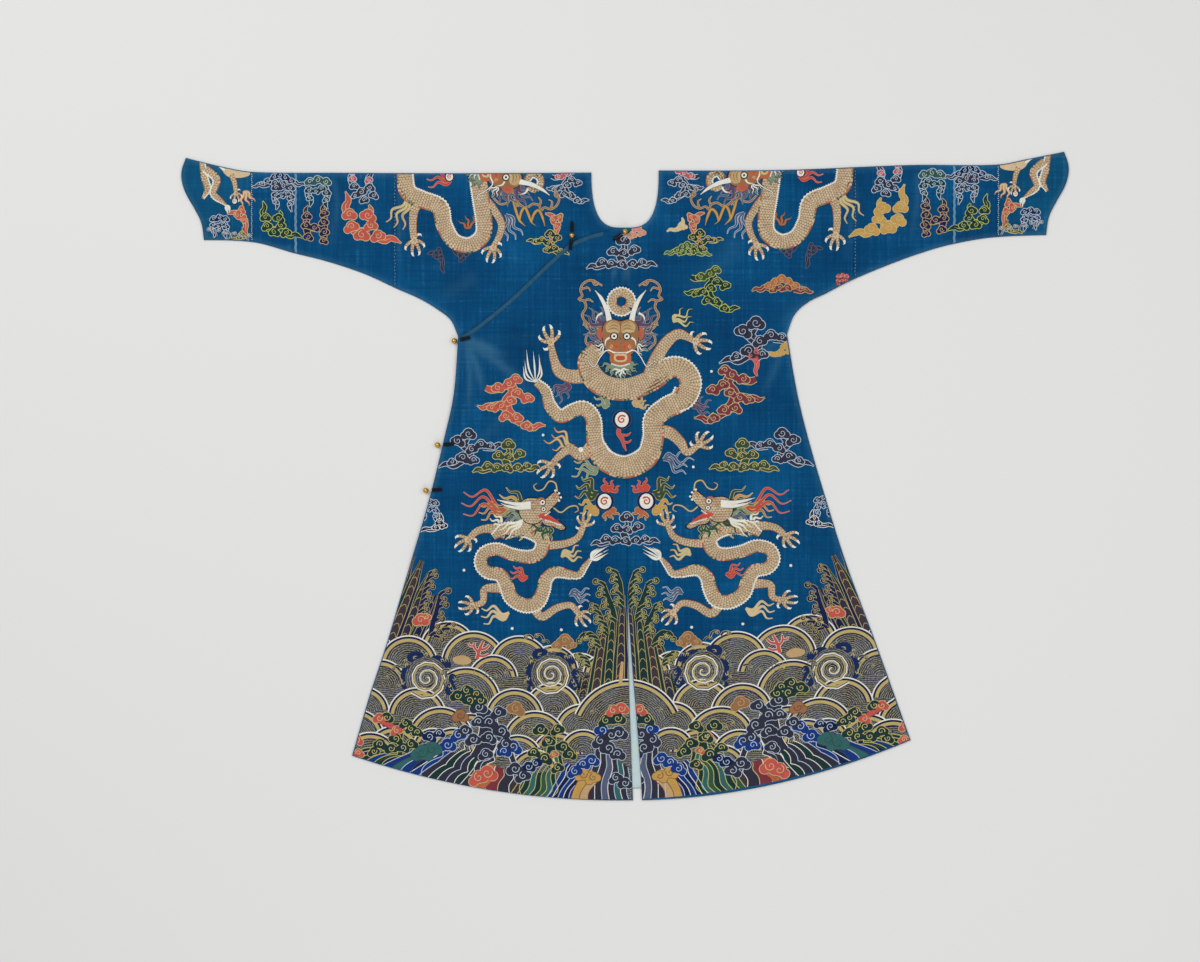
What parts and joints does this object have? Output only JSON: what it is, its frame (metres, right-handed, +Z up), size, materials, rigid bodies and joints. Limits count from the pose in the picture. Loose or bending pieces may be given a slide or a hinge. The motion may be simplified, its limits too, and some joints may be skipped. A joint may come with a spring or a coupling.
{
  "type": "chinese dragon robe laid flat",
  "caption": "Long robe laid flat and face up, with wide sleeves, flared cuffs, a side-fastening front overlap, ball buttons and a front slit.",
  "frame": {"origin": "on the floor plane, under the middle of the robe's outline", "axes": "+X across the robe towards the wearer's left sleeve, +Y from the hem towards the neck, +Z up out of the robe's front"},
  "size_m": [1.9514, 1.4261, 0.0235],
  "materials": {
    "silk_blue": "deep blue tapestry-woven silk, slightly worn, with coloured and gold figures",
    "cuff_silk": "deep blue tapestry-woven silk with small figures",
    "edge_silk": "narrow edging in dull green-gold silk",
    "lining_silk": "pale blue plain silk lining",
    "gilt_brass": "gilt, slightly rubbed",
    "dark_cord": "dark stitched silk cord"
  },
  "bodies": {
    "root": {"body_left": "silk_blue", "body_right": "silk_blue", "front_overlap": "silk_blue", "sleeve_upper_left": "silk_blue", "sleeve_upper_right": "silk_blue", "sleeve_lower_left": "silk_blue", "sleeve_lower_right": "silk_blue", "cuff_left": "cuff_silk", "cuff_right": "cuff_silk", "overlap_edging": "edge_silk", "back_lining": "lining_silk", "button_neck": "gilt_brass", "button_collarbone": "gilt_brass", "button_underarm": "gilt_brass", "button_side_upper": "gilt_brass", "button_side_lower": "gilt_brass", "loop_neck": "dark_cord", "loop_collarbone": "dark_cord", "loop_underarm": "dark_cord", "loop_side_upper": "dark_cord", "loop_side_lower": "dark_cord", "strap_collarbone": "dark_cord"}
  },
  "joints": []
}
